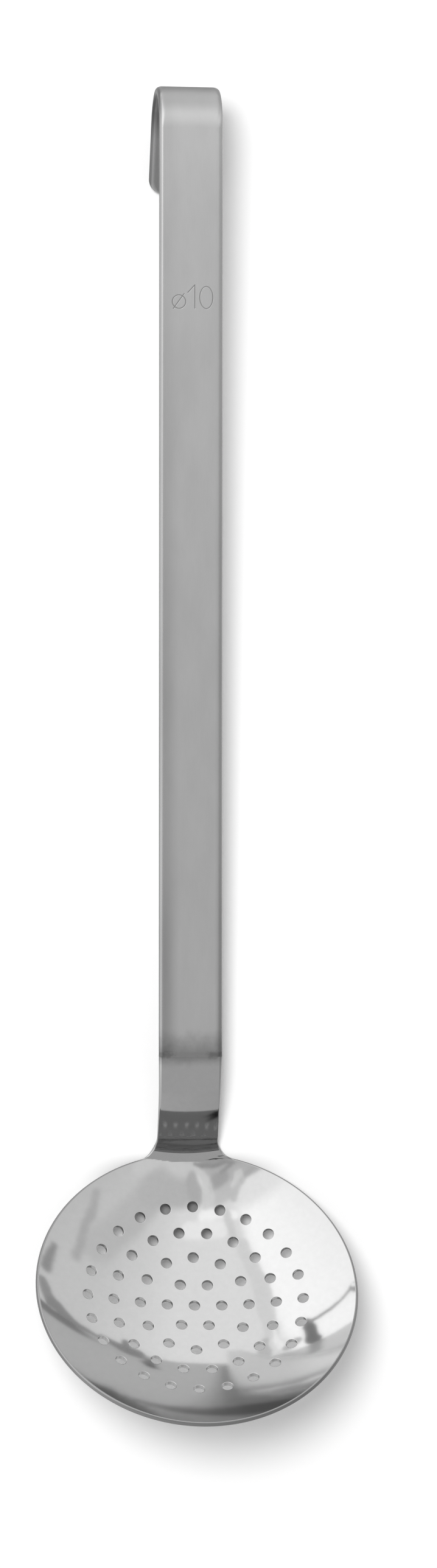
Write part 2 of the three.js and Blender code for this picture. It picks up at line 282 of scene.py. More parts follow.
# Noise drawn out by its scale: the grain of a satin finish, or slow waves in a pressed sheet
def buildNoise(tree, inputs):
    place = vectorCalc(tree, "MULTIPLY", inputs["Place"], inputs["Scale"])
    return addNoise(tree, place, 1.0, inputs["Detail"], 0.55).outputs["Fac"]


# A soft oval spot, broken up by noise
def buildSpot(tree, inputs):
    away = vectorCalc(tree, "SUBTRACT", inputs["Place"], inputs["Centre"])
    length = vectorCalc(tree, "LENGTH", vectorCalc(tree, "DIVIDE", away, inputs["Size"]))
    ragged = calc(tree, "SUBTRACT", addNoise(tree, inputs["Place"], 0.9, 4.0).outputs["Fac"], 0.5)
    ragged = calc(tree, "MULTIPLY", ragged, inputs["Raggedness"])
    inner = calc(tree, "SUBTRACT", 1.0, inputs["Softness"])
    return ease(tree, calc(tree, "ADD", length, ragged), inner, 1.0, low=1.0, high=0.0)


# Heat tint on both sides of the weld, fading along the strip
def buildHeat(tree, inputs):
    along = calc(tree, "SUBTRACT", splitVector(tree, inputs["Place"])["Y"], inputs["Middle"])
    up = calc(tree, "DIVIDE", along, inputs["Reach Up"])
    down = calc(tree, "DIVIDE", calc(tree, "MULTIPLY", along, -1.0), inputs["Reach Down"])
    noise = addNoise(tree, inputs["Place"], 0.35, 3.0).outputs["Fac"]
    away = vary(tree, calc(tree, "MAXIMUM", up, down), noise, 0.5)
    return ease(tree, away, 0.0, 1.0, low=1.0, high=0.0)


# A soft stroke from one place to another, wider or narrower on its way
def buildStroke(tree, inputs):
    along = vectorCalc(tree, "SUBTRACT", inputs["End"], inputs["Start"])
    away = vectorCalc(tree, "SUBTRACT", inputs["Place"], inputs["Start"])
    onto = vectorCalc(tree, "DOT_PRODUCT", away, along)
    square = vectorCalc(tree, "DOT_PRODUCT", along, along)
    share = calc(tree, "DIVIDE", onto, square, clamp=True)
    off = vectorCalc(tree, "SUBTRACT", away, scaleVector(tree, along, share))
    width = mixValue(tree, share, inputs["Start Width"], inputs["End Width"])
    beyond = calc(tree, "SUBTRACT", vectorCalc(tree, "LENGTH", off), width)
    return ease(tree, beyond, 0.0, inputs["Softness"], low=1.0, high=0.0)


# A soft line round an oval
def buildRing(tree, inputs):
    away = vectorCalc(tree, "SUBTRACT", inputs["Place"], inputs["Centre"])
    length = vectorCalc(tree, "LENGTH", vectorCalc(tree, "DIVIDE", away, inputs["Size"]))
    off = calc(tree, "ABSOLUTE", calc(tree, "SUBTRACT", length, 1.0))
    real = calc(tree, "DIVIDE", vectorCalc(tree, "LENGTH", away), length)
    beyond = calc(tree, "SUBTRACT", calc(tree, "MULTIPLY", off, real), inputs["Width"])
    return ease(tree, beyond, 0.0, inputs["Softness"], low=1.0, high=0.0)


zero, one = (0.0, 0.0, 0.0), (1.0, 1.0, 1.0)
noiseInputs = {"Place": zero, "Scale": one, "Detail": 2.0}
drawnNoise = makeGroup("drawnNoise", noiseInputs, "Height", buildNoise)
ovalInputs = {"Place": zero, "Centre": zero, "Size": one, "Softness": 0.5}
softSpot = makeGroup("softSpot", {**ovalInputs, "Raggedness": 0.4}, "Mask", buildSpot)
softRing = makeGroup("softRing", {**ovalInputs, "Width": 0.1}, "Mask", buildRing)
heatInputs = {"Place": zero, "Middle": 0.7, "Reach Up": 9.0, "Reach Down": 5.0}
heatTint = makeGroup("heatTint", heatInputs, "Mask", buildHeat)
strokeInputs = {"Place": zero, "Start": zero, "End": one}
strokeInputs.update({"Start Width": 1.0, "End Width": 1.0, "Softness": 1.0})
softStroke = makeGroup("softStroke", strokeInputs, "Mask", buildStroke)


# A material with its shader and the drawing's own coordinates, in mm
def startMaterial(name):
    material = bpy.data.materials.new(name)
    material.use_nodes = True
    tree = material.node_tree
    tree.nodes.clear()
    output = addNode(tree, "ShaderNodeOutputMaterial")
    shader = addNode(tree, "ShaderNodeBsdfPrincipled")
    tree.links.new(shader.outputs["BSDF"], output.inputs["Surface"])
    coordinates = addNode(tree, "ShaderNodeTexCoord")
    drawing = addNode(tree, "ShaderNodeMapping", vector_type="TEXTURE")
    feed(tree, drawing, {"Vector": coordinates.outputs["Object"], "Location": origin})
    feed(tree, drawing, {"Rotation": (tip, 0, 0), "Scale": (mm, mm, mm)})
    return material, tree, shader, drawing.outputs["Vector"]


# Soft strokes painted over a tone one after the other
def addStrokes(tree, place, tone, strokes):
    for start, end, startWidth, endWidth, softness, value in strokes:
        inputs = {"Place": place, "Start": (*start, 0), "End": (*end, 0), "Softness": softness}
        inputs.update({"Start Width": startWidth, "End Width": endWidth})
        tone = mixValue(tree, useGroup(tree, softStroke, inputs), tone, value)
    return tone


# A value along the strip, given at some distances from the weld
def addCourse(tree, distance, stops):
    value = stops[0][1]
    for (start, _), (end, onward) in zip(stops, stops[1:]):
        value = mixValue(tree, ease(tree, distance, start, end), value, onward)
    return value


def addBump(tree, shader, heights):
    normal = None
    for height, depth in heights:
        bump = addNode(tree, "ShaderNodeBump")
        feed(tree, bump, {"Height": height, "Distance": depth * mm, "Strength": 1.0})
        if normal is not None:
            feed(tree, bump, {"Normal": normal})
        normal = bump.outputs["Normal"]
    feed(tree, shader, {"Normal": normal})


# What the welding left: a darker tint that fades along the steel, and a stain at each end
weldMarks = {
    "middle": 0.7,
    "reachUp": 9.0,
    "reachDown": 4.5,
    "tint": 0.42,
    "stains": ((-7.4, 0.6), (6.8, 0.6)),
    "stainSize": (3.4, 1.7, 6.0),
    "stain": 0.34,
}


def addWeldMarks(tree, place, tone):
    inputs = {"Place": place, "Middle": weldMarks["middle"]}
    inputs.update({"Reach Up": weldMarks["reachUp"], "Reach Down": weldMarks["reachDown"]})
    tone = dull(tree, tone, useGroup(tree, heatTint, inputs), weldMarks["tint"])
    for x, y in weldMarks["stains"]:
        spot = {"Place": place, "Centre": (x, y, weld["thickness"] / 2)}
        spot.update({"Size": weldMarks["stainSize"], "Softness": 0.9, "Raggedness": 1.0})
        tone = dull(tree, tone, useGroup(tree, softSpot, spot), weldMarks["stain"])
    return tone


# Mirror polished steel of the bowl. Each noise has its scale across, along and out, its detail
# and how much it does. The cut edge of the lip is rougher, and a painted shade darkens it.
mirrorSteel = {
    "tone": 0.60,
    "roughness": 0.07,
    "haze": ((0.5, 0.5, 0.5), 3.0, 0.05),
    "scratches": ((6.0, 0.4, 3.0), 3.0, 0.04),
    "wave": ((0.06, 0.05, 0.05), 1.0, 0.04),
    "ripple": ((0.2, 0.16, 0.2), 1.0, 0.003),
    # the lip's cut edge: its darker tone is a painted shade, its roughness is the cut's own
    "shadedLipEdge": {"radius": (48.95, 49.15), "below": (1.2, 2.5), "tone": 0.34, "roughness": 0.25},
}


# One of a steel's noises and how much it does
def steelNoise(tree, place, steel, name):
    size, detail, amount = steel[name]
    return useGroup(tree, drawnNoise, {"Place": place, "Scale": size, "Detail": detail}), amount


# The lip's outermost edge by its distance from the lip's axis, from a little below the heel on
def lipEdgeMask(tree, place):
    edge = mirrorSteel["shadedLipEdge"]
    away = vectorCalc(tree, "SUBTRACT", place, tuple(lipCentre))
    radius = vectorCalc(tree, "LENGTH", vectorCalc(tree, "CROSS_PRODUCT", away, tuple(outOfBowl)))
    belowHeel = [heelY - distance for distance in edge["below"]]
    below = ease(tree, splitVector(tree, place)["Y"], *belowHeel)
    return calc(tree, "MULTIPLY", ease(tree, radius, *edge["radius"]), below)


def makeMirrorSteel():
    material, tree, shader, place = startMaterial("mirrorSteel")
    tone = vary(tree, mirrorSteel["tone"], *steelNoise(tree, place, mirrorSteel, "haze"))
    tone = addWeldMarks(tree, place, tone)
    rough = vary(tree, mirrorSteel["roughness"], *steelNoise(tree, place, mirrorSteel, "scratches"))
    cut = lipEdgeMask(tree, place)
    # painted shade: the lip's cut edge is painted darker, and made rougher
    tone = mixValue(tree, cut, tone, mirrorSteel["shadedLipEdge"]["tone"])
    rough = mixValue(tree, cut, rough, mirrorSteel["shadedLipEdge"]["roughness"])
    feed(tree, shader, {"Base Color": grey(tree, tone), "Roughness": rough, "Metallic": 1.0})
    waves = [steelNoise(tree, place, mirrorSteel, name) for name in ("wave", "ripple")]
    addBump(tree, shader, waves)
    return material


# Satin steel of the handle, with the size mark engraved in it. Where it was bent to the hook and on
# the hook's tail the strip is duller and painted darker as shade. Towards its sides it is painted
# darker as shade, there by the distance from the weld, and along it a painted light brightens it
# towards the hook.
satinSteel = {
    "tone": 0.77,
    "roughness": 0.40,
    "blotch": ((0.12, 0.04, 0.1), 3.0, 0.14),
    "grain": ((5.0, 0.25, 5.0), 4.0, 0.04),
    "grainDepth": 0.004,
    "grainRoughness": 0.06,
    "edgeRoughness": 0.26,
    "edge": (8.0, 9.0),
    # the bend and the hook's tail are darker: partly a duller finish, partly painted shade
    "bend": (290.5, 300.0),
    "bendDullingAndShade": 0.50,
    "tail": (-4.0, -11.0),
    "tailDullingAndShade": 0.42,
    # painted light: the tone is raised towards the hook and lowered towards the weld
    "lengthwaysLight": ((10.0, 0.93), (120.0, 0.94), (210.0, 1.0), (262.0, 1.04), (290.0, 1.12)),
    # painted shade towards each side of the strip, growing or fading along it
    "sides": (
        ((-9.0, -9.5), ((10.0, 0.0), (120.0, 0.25), (290.0, 0.46))),
        ((-3.2, -8.5), ((10.0, 0.34), (90.0, 0.20), (290.0, 0.06))),
        ((7.3, 9.4), ((10.0, 0.32), (35.0, 0.24), (95.0, 0.16), (290.0, 0.02))),
    ),
}
sizeMark = {  # the ring with its slash, the one and the nought
    "row": 236.8,
    "strokes": (((-5.7, -2.4), (-2.3, 2.3)), ((1.1, -2.2), (1.1, 5.1)), ((-1.1, 2.7), (1.1, 5.1))),
    "rings": (((-3.9, -0.2), (2.1, 2.1)), ((4.7, 1.2), (2.05, 3.45))),
    "halfWidth": 0.099,
    "softness": 0.132,
    "depth": 0.05,
    "tone": 0.2,
    "strength": 0.6,
}


def makeSizeMark(tree, place):
    def spot(x, y):
        return (x, sizeMark["row"] + y, weld["thickness"] / 2)

    width = sizeMark["halfWidth"]
    common = {"Place": place, "Softness": sizeMark["softness"]}
    masks = []
    for start, end in sizeMark["strokes"]:
        stroke = {"Start": spot(*start), "End": spot(*end)}
        stroke.update({"Start Width": width, "End Width": width})
        masks.append(useGroup(tree, softStroke, {**common, **stroke}))
    for centre, size in sizeMark["rings"]:
        ring = {"Centre": spot(*centre), "Size": (*size, 50.0), "Width": width}
        masks.append(useGroup(tree, softRing, {**common, **ring}))
    mark = masks[0]
    for mask in masks[1:]:
        mark = calc(tree, "MAXIMUM", mark, mask)
    return mark


def makeSatinSteel():
    material, tree, shader, place = startMaterial("satinSteel")
    across, along, out = splitVector(tree, place)
    grain, grainAmount = steelNoise(tree, place, satinSteel, "grain")
    tone = vary(tree, satinSteel["tone"], *steelNoise(tree, place, satinSteel, "blotch"))
    tone = vary(tree, tone, grain, grainAmount)
    # bend and tail darkened: duller finish with painted shade
    tone = dull(tree, tone, ease(tree, along, *satinSteel["bend"]), satinSteel["bendDullingAndShade"])
    tone = dull(tree, tone, ease(tree, out, *satinSteel["tail"]), satinSteel["tailDullingAndShade"])
    # painted light along the strip, lighter towards the hook
    tone = calc(tree, "MULTIPLY", tone, addCourse(tree, along, satinSteel["lengthwaysLight"]))
    # painted shade: the strip's sides are darkened, by the distance from the weld
    for reach, course in satinSteel["sides"]:
        sideShade = calc(tree, "MULTIPLY", addCourse(tree, along, course), ease(tree, across, *reach))
        tone = dull(tree, tone, sideShade)
    tone = addWeldMarks(tree, place, tone)
    mark = makeSizeMark(tree, place)
    share = calc(tree, "MULTIPLY", mark, sizeMark["strength"])
    tone = mixValue(tree, share, tone, sizeMark["tone"])
    edge = ease(tree, calc(tree, "ABSOLUTE", across), *satinSteel["edge"])
    rough = mixValue(tree, edge, satinSteel["roughness"], satinSteel["edgeRoughness"])
    rough = vary(tree, rough, grain, satinSteel["grainRoughness"])
    feed(tree, shader, {"Base Color": grey(tree, tone), "Roughness": rough, "Metallic": 1.0})
    cut = calc(tree, "MULTIPLY", mark, -1.0)
    addBump(tree, shader, [(grain, satinSteel["grainDepth"]), (cut, sizeMark["depth"])])
    return material


# The weld, ground flush, in grain between that of the strip and the mirror, duller at its ends
weldSteel = {
    "tone": 0.68,
    "roughness": 0.30,
    "grain": ((0.8, 3.0, 2.0), 4.0, 0.1),
    "grainDepth": 0.006,
    "ends": (7.4, 9.2),
    "endDulling": 0.40,
}


def makeWeldSteel():
    material, tree, shader, place = startMaterial("weldSteel")
    grain, amount = steelNoise(tree, place, weldSteel, "grain")
    tone = vary(tree, weldSteel["tone"], grain, amount)
    across = calc(tree, "ABSOLUTE", splitVector(tree, place)["X"])
    tone = dull(tree, tone, ease(tree, across, *weldSteel["ends"]), weldSteel["endDulling"])
    tone = addWeldMarks(tree, place, tone)
    feed(tree, shader, {"Base Color": grey(tree, tone), "Metallic": 1.0})
    feed(tree, shader, {"Roughness": weldSteel["roughness"]})
    addBump(tree, shader, [(grain, weldSteel["grainDepth"])])
    return material


# Bowl and neck: one pressed sheet, its front face a height over the drawing
bowl = {
    "dishRadius": 108.0,
    "tilt": 42.4,
    "sheet": 1.5,
    "edge": 0.45,
    "trim": 0.04,  # kept off the part's width
    # each bend's front radius, the slope in degrees that it reaches and a straight after it
    "neckBends": ((41.0, 25.6, 0.0), (180.0, 27.1, 4.5), (6.0, 45.0, 6.2)),
    "neckWidth": 19.5,
    "crown": 85.0,
    "crownGrowth": 0.7,  # share of the neck's length over which the crown grows
    "filletAngle": 17.5,
    "filletReach": 6.7,
    "filletPull": 0.5,
    "heelBlend": 3.5,
    "marginRows": 18,
    "marginCrowding": 1.4,
    "lipColumns": 288,
    "neckRows": 60,
    "fairingRows": 16,
    "edgeSteps": 4,
}
holes = {
    "diameter": 3.5,
    "pitch": 8.5,
    "rings": 4,
    "turn": -2.4,
    "rollOver": (0.16, 0.08),  # how far the punch draws the front edge down, across and deep
    "burr": (0.20, 0.50),
    "spacing": 0.8,
    "frontRows": (1, 0.75, 0.5, 0.3, 0.15, 0.06),
    "backRows": (0.3, 0.65, 1),
}
strip = {"width": 20.0, "thickness": 3.0, "corner": 1.2}

bowlLow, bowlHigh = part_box("bowl")
fullRadius = (bowlHigh.x - bowlLow.x) / 2 / mm - bowl["trim"]
lipLean = (bowl["sheet"] - bowl["edge"]) * fullRadius / bowl["dishRadius"]
lipRadius = fullRadius - lipLean


# The neck's bends placed one after the other, the first tangent to the handle
def placeNeckBends():
    course = []
    end = endSlope = 0.0
    for radius, slope, straight in bowl["neckBends"]:
        bend = {"start": end, "startSlope": endSlope, "radius": radius}
        bend["endSlope"] = endSlope = math.radians(slope)
        bend["bendEnd"] = end + radius * (math.sin(endSlope) - math.sin(bend["startSlope"]))
        bend["end"] = end = bend["bendEnd"] + straight * math.cos(endSlope)
        course.append(bend)
    return course


neckCourse = placeNeckBends()


# Height of the neck's front along its middle, by the distance down from the weld; past the heel
# it carries on straight
def neckProfile(down):
    height = strip["thickness"] / 2
    for bend in neckCourse:
        startSlope, endSlope = bend["startSlope"], bend["endSlope"]
        rise = math.sin(startSlope) + (down - bend["start"]) / bend["radius"]
        bent = np.arcsin(np.clip(rise, math.sin(startSlope), math.sin(endSlope)))
        height = height - bend["radius"] * (math.cos(startSlope) - np.cos(bent))
        onward = np.clip(down, bend["bendEnd"], bend["end"]) - bend["bendEnd"]
        height = height - onward * math.tan(endSlope)
    last = neckCourse[-1]
    return height - np.maximum(down - last["end"], 0) * math.tan(last["endSlope"])


heelY = -neckCourse[-1]["end"]
heelZ = float(neckProfile(-heelY))
tilt = math.radians(bowl["tilt"])
towardsNeck = np.array((0, math.cos(tilt), -math.sin(tilt)))
outOfBowl = np.array((0, math.sin(tilt), math.cos(tilt)))
lipCentre = np.array((0, heelY, heelZ)) - towardsNeck * lipRadius
sphereHeight = math.sqrt(bowl["dishRadius"] ** 2 - lipRadius ** 2)
sphereCentre = lipCentre + outOfBowl * sphereHeight
mirrorMaterial = makeMirrorSteel()
satinMaterial = makeSatinSteel()
weldMaterial = makeWeldSteel()
print("materials made")


def frontHeight(x, y):
    reach = bowl["dishRadius"] ** 2 - x ** 2 - (y - sphereCentre[1]) ** 2
    dish = sphereCentre[2] - np.sqrt(reach)
    side = np.minimum(np.abs(x), bowl["neckWidth"] / 2)
    crown = side ** 2 / (2 * bowl["crown"]) * smoothstep(y / heelY, 0, bowl["crownGrowth"])
    neck = neckProfile(np.abs(y)) - crown
    overlap = np.maximum(bowl["heelBlend"] - np.abs(dish - neck), 0) / bowl["heelBlend"]
    return np.maximum(dish, neck) + overlap ** 2 * bowl["heelBlend"] / 4


def thicknessAt(y):
    share = smoothstep(y, heelY, 0)
    return bowl["sheet"] + (strip["thickness"] - bowl["sheet"]) * share


def edgeRadiusAt(y):
    share = smoothstep(y, heelY, 0)
    return bowl["edge"] + (strip["corner"] - bowl["edge"]) * share


slopeStep = 0.01


# Points and normals of the front face over places of the drawing
def frontFace(places):
    x, y = places[..., 0], places[..., 1]
    step = slopeStep
    slopeX = (frontHeight(x + step, y) - frontHeight(x - step, y)) / (2 * step)
    slopeY = (frontHeight(x, y + step) - frontHeight(x, y - step)) / (2 * step)
    points = np.stack([x, y, frontHeight(x, y)], axis=-1)
    return points, unit(np.stack([-slopeX, -slopeY, np.ones_like(x)], axis=-1))


def backFace(places):
    points, normals = frontFace(places)
    y = places[..., 1]
    step = slopeStep
    growth = (thicknessAt(y + step) - thicknessAt(y - step)) / (2 * step)
    along = unit(np.stack([np.zeros_like(y), normals[..., 2], -normals[..., 1]], axis=-1))
    slant = growth * np.abs(along[..., 1])
    return points - normals * thicknessAt(y)[..., None], -unit(normals + along * slant[..., None])


# A place on the dish by its distance from the middle along the sheet and its angle
def dishPlace(along, angle):
    radius = bowl["dishRadius"] * np.sin(along / bowl["dishRadius"])
    depth = bowl["dishRadius"] * np.cos(along / bowl["dishRadius"]) - sphereHeight
    y = lipCentre[1] - outOfBowl[1] * depth + towardsNeck[1] * radius * np.sin(angle)
    return np.stack([radius * np.cos(angle), y], axis=-1)


def cellEdges(ring):
    return [(i + 0.5) / (6 * ring) for i in range(6 * ring)]


# Corners of the cells on the circle between two rings, and enough points between them
def circleShares(ring):
    if ring == holes["rings"]:
        return [i / bowl["lipColumns"] for i in range(bowl["lipColumns"])]
    corners = sorted(cellEdges(ring + 1) + (cellEdges(ring) if ring > 0 else []))
    corners = [c for i, c in enumerate(corners) if i == 0 or c - corners[i - 1] > 1e-9]
    radius = (ring + 0.5) * holes["pitch"]
    shares = []
    for here, following in zip(corners, corners[1:] + [corners[0] + 1]):
        steps = math.ceil((following - here) * fullTurn * radius / holes["spacing"])
        shares += [here + (following - here) * i / steps for i in range(steps)]
    return shares


def between(shares, start, end):
    spread = [s + shift for s in shares for shift in (-1, 0, 1)]
    return sorted(s for s in spread if start - 1e-9 < s < end + 1e-9)


def polar(along, share):
    angle = share * fullTurn + math.radians(holes["turn"])
    return np.array((along * math.cos(angle), along * math.sin(angle)))


def cellOutline(ring, start, end):
    outer = (ring + 0.5) * holes["pitch"]
    if ring == 0:
        return np.array([polar(outer, s) for s in circleShares(0)])
    inner = (ring - 0.5) * holes["pitch"]
    steps = math.ceil(holes["pitch"] / holes["spacing"])
    rise = [inner + (outer - inner) * i / steps for i in range(1, steps)]
    outline = [polar(outer, s) for s in between(circleShares(ring), start, end)]
    outline += [polar(along, end) for along in reversed(rise)]
    outline += [polar(inner, s) for s in reversed(between(circleShares(ring - 1), start, end))]
    outline += [polar(along, start) for along in rise]
    return np.array(outline)


# The sheet round one hole, from the cell's outline on the front, through the hole's rounded
# edges and wall, to the outline on the back
def addCell(surface, ring, start, end):
    middle = polar(ring * holes["pitch"], (start + end) / 2)
    outline = cellOutline(ring, start, end)
    radius = holes["diameter"] / 2
    rollWidth, rollDepth = holes["rollOver"]
    burrWidth, burrDepth = holes["burr"]
    reach = np.linalg.norm(outline - middle, axis=1)
    ways = (outline - middle) / reach[:, None]

    def place(distance):
        flat = middle + ways * distance[:, None]
        angle = np.arctan2(flat[:, 1], flat[:, 0])
        return dishPlace(np.linalg.norm(flat, axis=1), angle)

    rows = []
    axisPoint = frontFace(place(np.zeros(len(outline))))[0]

    def addRow(distance, depth, lean, back):
        spots = place(distance)
        points, normals = frontFace(spots)
        inwards = axisPoint - points
        inwards = unit(inwards - normals * (inwards * normals).sum(axis=1, keepdims=True) + 1e-12)
        way = normals * (-1 if back else 1)
        way = way * math.cos(lean) + inwards * math.sin(lean)
        rows.append((points - normals * depth, unit(way)))

    clear = radius + rollWidth
    for share in holes["frontRows"]:
        addRow(clear + (reach - clear) * share, 0, 0, False)
    for step in range(bowl["edgeSteps"] + 1):
        turn = step / bowl["edgeSteps"] * math.pi / 2
        distance = radius + rollWidth * (1 - math.sin(turn))
        lean = math.atan2(math.sin(turn) / rollWidth, math.cos(turn) / rollDepth)
        addRow(np.full(len(reach), distance), rollDepth * (1 - math.cos(turn)), lean, False)
    for step in range(bowl["edgeSteps"] + 1):
        turn = (1 - step / bowl["edgeSteps"]) * math.pi / 2
        distance = radius + burrWidth * (1 - math.sin(turn))
        lean = math.atan2(math.sin(turn) / burrWidth, math.cos(turn) / burrDepth)
        depth = bowl["sheet"] - burrDepth * (1 - math.cos(turn))
        addRow(np.full(len(reach), distance), depth, lean, True)
    clear = radius + burrWidth
    for share in holes["backRows"]:
        addRow(clear + (reach - clear) * share, bowl["sheet"], 0, True)
    points = np.array([row[0] for row in rows])
    normals = np.array([row[1] for row in rows])
    surface.addGrid(points, normals, closed=True)


def addPerforatedField(surface):
    addCell(surface, 0, 0, 0)
    for ring in range(1, holes["rings"] + 1):
        for cell in range(6 * ring):
            addCell(surface, ring, (cell - 0.5) / (6 * ring), (cell + 0.5) / (6 * ring))


# Columns of the lip are counted from the neck's middle; the neck's sides leave it at sideColumn
columnAngle = fullTurn / bowl["lipColumns"]
sideColumn = round(math.radians(bowl["filletAngle"]) / columnAngle)
fieldTurn = math.radians(holes["turn"]) - math.pi / 2
fieldTurn -= round(fieldTurn / columnAngle) * columnAngle


def marginPlace(share, column, inset):
    field = (holes["rings"] + 0.5) * holes["pitch"]
    edge = lipRadius - inset
    outer = bowl["dishRadius"] * np.arcsin(edge / bowl["dishRadius"])
    angle = math.pi / 2 - column * columnAngle + (1 - share) ** 3 * fieldTurn
    return dishPlace(field + (outer - field) * share, angle)


def marginPlaces():
    columns = np.arange(bowl["lipColumns"]) - bowl["lipColumns"] // 2
    inset = np.where(np.abs(columns) >= sideColumn, bowl["edge"], 0.0)
    shares = 1 - (1 - np.linspace(0, 1, bowl["marginRows"] + 1)) ** bowl["marginCrowding"]
    return np.array([marginPlace(share, columns, inset) for share in shares])


# Outline of the neck's right side, from the lip to the weld: a fairing curve, then straight
def neckOutline():
    start = marginPlace(1, sideColumn, 0.0)
    beside = marginPlace(1, sideColumn + 1, 0.0)
    alongLip = unit(start - beside)
    end = np.array((bowl["neckWidth"] / 2, start[1] + bowl["filletReach"]))
    reach = bowl["filletReach"] * bowl["filletPull"]
    handles = [start, start + alongLip * reach, end - (0, reach), end]
    points = []
    for i in range(bowl["fairingRows"]):
        t = i / bowl["fairingRows"]
        weights = ((1 - t) ** 3, 3 * t * (1 - t) ** 2, 3 * t * t * (1 - t), t ** 3)
        points.append(sum(w * h for w, h in zip(weights, handles)))
    straight = bowl["neckRows"] - bowl["fairingRows"]
    weldCorner = np.array((strip["width"] / 2, 0.0))
    points += [end + (weldCorner - end) * i / straight for i in range(straight + 1)]
    return np.array(points)


def neckInset(outline):
    before = np.vstack([outline[:1], outline[:-1]])
    after = np.vstack([outline[1:], outline[-1:]])
    along = unit(after - before)
    inwards = np.stack([-along[:, 1], along[:, 0]], axis=1)
    moved = outline + inwards * edgeRadiusAt(outline[:, 1])[:, None]
    moved[0] = marginPlace(1, sideColumn, bowl["edge"])
    moved[-1, 1] = 0.0
    return moved


# The neck is a patch between its two sides: its rows start on the lip's arc and end at the weld
def neckPlaces(inset):
    columns = np.arange(-sideColumn, sideColumn + 1)
    inner = np.where(np.abs(columns) >= sideColumn, bowl["edge"], 0.0)
    foot = marginPlace(1, columns, inner)
    x = foot[:, 0] / foot[-1, 0] * inset[:, :1]
    fall = 1 - inset[:, 1:] / inset[0, 1]
    y = inset[:, 1:] + (foot[:, 1] - foot[-1, 1]) * (1 - smoothstep(fall, 0, 1))
    return np.stack([x, y], axis=-1)


# The rounded edge of the sheet, from the front round to the back
def addEdge(surface, insets, outlines):
    front, normals = frontFace(insets)
    reach = frontFace(outlines)[0] - front
    reach = reach - normals * (reach * normals).sum(axis=1, keepdims=True)
    outwards = unit(reach)
    width = np.linalg.norm(reach, axis=1)[:, None]
    radius = edgeRadiusAt(insets[:, 1])[:, None]
    thickness = thicknessAt(insets[:, 1])[:, None]
    points, ways = [], []
    for step in range(bowl["edgeSteps"] + 1):
        turn = step / bowl["edgeSteps"] * math.pi / 2
        depth = radius * (1 - math.cos(turn))
        points.append(front + outwards * width * math.sin(turn) - normals * depth)
        ways.append(normals * math.cos(turn) + outwards * math.sin(turn))
    for step in range(bowl["edgeSteps"] + 1):
        turn = (1 - step / bowl["edgeSteps"]) * math.pi / 2
        depth = thickness - radius * (1 - math.cos(turn))
        points.append(front + outwards * width * math.sin(turn) - normals * depth)
        ways.append(outwards * math.sin(turn) - normals * math.cos(turn))
    surface.addGrid(np.array(points), np.array(ways))


def makeBowl():
    surface = Surface()
    addPerforatedField(surface)
    margin = marginPlaces()
    surface.addGrid(*frontFace(margin), closed=True)
    surface.addGrid(*backFace(margin), closed=True)
    outline = neckOutline()
    inset = neckInset(outline)
    neck = neckPlaces(inset)
    surface.addGrid(*frontFace(neck))
    surface.addGrid(*backFace(neck))
    lipColumns = np.arange(sideColumn, bowl["lipColumns"] - sideColumn + 1)
    addEdge(surface, marginPlace(1, lipColumns, bowl["edge"]), marginPlace(1, lipColumns, 0.0))
    addEdge(surface, inset, outline)
    mirror = np.array((-1, 1))
    addEdge(surface, inset * mirror, outline * mirror)
    ends = neck[-1]
    wall = np.stack([frontFace(ends)[0], backFace(ends)[0]])
    surface.addGrid(wall, np.broadcast_to((0.0, 1.0, 0.0), wall.shape))
    return makePiece("bowl_sheet", surface, mirrorMaterial)


bowlPiece = makeBowl()
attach(bowlPiece, "root")
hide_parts("bowl")
print("bowl made:", len(bowlPiece.data.polygons), "faces")


# Handle: a flat strip with rounded edges, its end bent back into a hook
handle = {
    "straight": 289.5,
    "hookRadius": 13.8,
    "hookOpening": 25.0,
    "tail": 23.2,
    "tailCorner": 5.0,
    "edgeAcross": 1.9,  # the edges are rounded wider across the strip than through it
    "endBreak": 0.35,
    "cornerSteps": 8,
    "straightSteps": 40,
    "hookSteps": 48,
    "tailSteps": 12,
    "breakSteps": 4,
}


# Section of the strip with elliptical corners, as offsets across and out, and their normals
def stripSection(halfWidth, halfThickness, across, through):
    offsets, ways = [], []
    for corner in range(4):
        for step in range(handle["cornerSteps"] + 1):
            turn = (corner + step / handle["cornerSteps"]) * math.pi / 2
            sideX = 1 if corner in (0, 3) else -1
            sideZ = 1 if corner < 2 else -1
            c, s = math.cos(turn), math.sin(turn)
            x = sideX * (halfWidth - across) + across * c
            offsets.append((x, sideZ * (halfThickness - through) + through * s))
            ways.append((c / across, s / through))
    return np.array(offsets), unit(np.array(ways))


# A strip along stations, each its place along and out, heading, half width and narrowing
def addLoft(surface, stations):
    points, normals = [], []
    for y, z, heading, halfWidth, narrowing in stations:
        across = handle["edgeAcross"] - narrowing
        through = strip["corner"] - narrowing
        half = strip["thickness"] / 2 - narrowing
        offsets, ways = stripSection(halfWidth - narrowing, half, across, through)
        out = np.array((0, -math.sin(heading), math.cos(heading)))
        sideways = np.array((1.0, 0, 0))
        points.append((0, y, z) + offsets[:, :1] * sideways + offsets[:, 1:] * out)
        normals.append(ways[:, :1] * sideways + ways[:, 1:] * out)
    surface.addGrid(np.array(points), np.array(normals), closed=True)
    for ring, inner in ((points[0], points[1]), (points[-1], points[-2])):
        outwards = unit(ring.mean(axis=0) - inner.mean(axis=0))
        half = len(ring) // 2
        wall = np.stack([ring[:half], ring[half:][::-1]])
        surface.addGrid(wall, np.broadcast_to(outwards, wall.shape))


